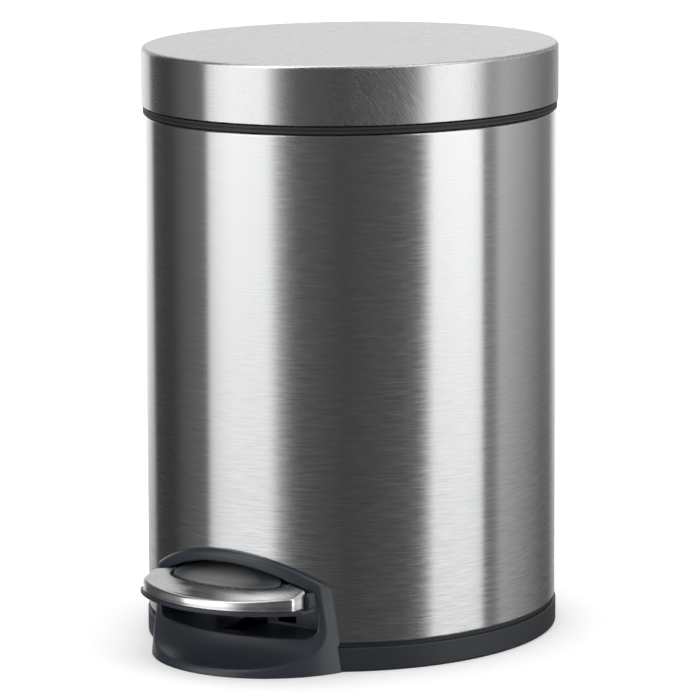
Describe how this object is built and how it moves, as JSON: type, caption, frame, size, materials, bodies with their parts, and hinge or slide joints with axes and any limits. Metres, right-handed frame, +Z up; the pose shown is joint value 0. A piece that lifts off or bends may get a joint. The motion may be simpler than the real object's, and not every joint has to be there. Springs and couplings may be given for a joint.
{
  "type": "pedal trash can",
  "caption": "Small oval pedal bin with a brushed-steel body and cap lid, a black plastic base and pedal arch, a removable pail, and a lid lifted by a rod.",
  "frame": {"origin": "centre of the body's oval plan, on the surface the bin stands on", "axes": "+Z up; the pedal faces -Y and the lid hinge is at +Y; symmetric left to right about the YZ plane"},
  "size_m": [0.1908, 0.2501, 0.28],
  "materials": {
    "brushed_steel": "fine linear brushing",
    "polished_steel": "polished",
    "plated_steel": "zinc plated",
    "black_plastic": "satin moulded, fine texture",
    "pail_plastic": "moulded",
    "black_rubber": "fine textured"
  },
  "bodies": {
    "bin": {"body_shell": "brushed_steel", "top_collar": "black_plastic", "base_tray": "black_plastic", "anti_slip_ring": "black_rubber", "pedal_bezel": "black_plastic", "bezel_screws": "plated_steel", "lever_pivot_pin": "plated_steel", "pivot_cap_left": "black_plastic", "pivot_cap_right": "black_plastic", "pivot_cap_screws": "plated_steel", "lever_cover": "black_plastic", "cover_screws": "plated_steel", "rod_guide_lower": "black_plastic", "rod_guide_upper": "black_plastic", "hinge_housing": "black_plastic", "housing_screws": "plated_steel", "hinge_pin": "plated_steel"},
    "pedal": {"pedal_carrier": "black_plastic", "pedal_cap": "polished_steel", "pedal_pad": "black_rubber", "lever_bar": "plated_steel", "carrier_screws": "plated_steel", "lever_tip": "black_plastic"},
    "rod": {"push_rod": "plated_steel", "rod_foot": "black_plastic", "rod_head": "black_plastic"},
    "lid": {"lid_shell": "brushed_steel", "lid_liner": "black_plastic", "lid_hinge_arm": "black_plastic", "lid_arm_screws": "plated_steel", "lid_buffers": "black_rubber"},
    "pail": {"inner_bucket": "pail_plastic"},
    "bail": {"bail_handle": "plated_steel"}
  },
  "joints": [
    {"name": "lid_hinge", "type": "hinge", "parent": "bin", "child": "lid", "pos_m": [0, 0.113, 0.247], "axis": [-1, 0, 0], "range_deg": [0, 80]},
    {"name": "pedal_hinge", "type": "hinge", "parent": "bin", "child": "pedal", "pos_m": [0, -0.05, 0.0135], "axis": [1, 0, 0], "range_deg": [0, 8.08]},
    {"name": "rod_slide", "type": "slide", "parent": "bin", "child": "rod", "axis": [0, 0, 1], "range_m": [0, 0.02058]},
    {"name": "pail_lift", "type": "slide", "parent": "bin", "child": "pail", "axis": [0, 0, 1], "range_m": [0, 0.005]},
    {"name": "bail_swing", "type": "hinge", "parent": "pail", "child": "bail", "pos_m": [0, 0, 0.2537], "axis": [-1, 0, 0], "range_deg": [0, 7]}
  ],
  "couplings": [
    {"joint": "pedal_hinge", "follows": "lid_hinge", "ratio": 0.10089},
    {"joint": "rod_slide", "follows": "lid_hinge", "m_per_rad": 0.014732}
  ]
}
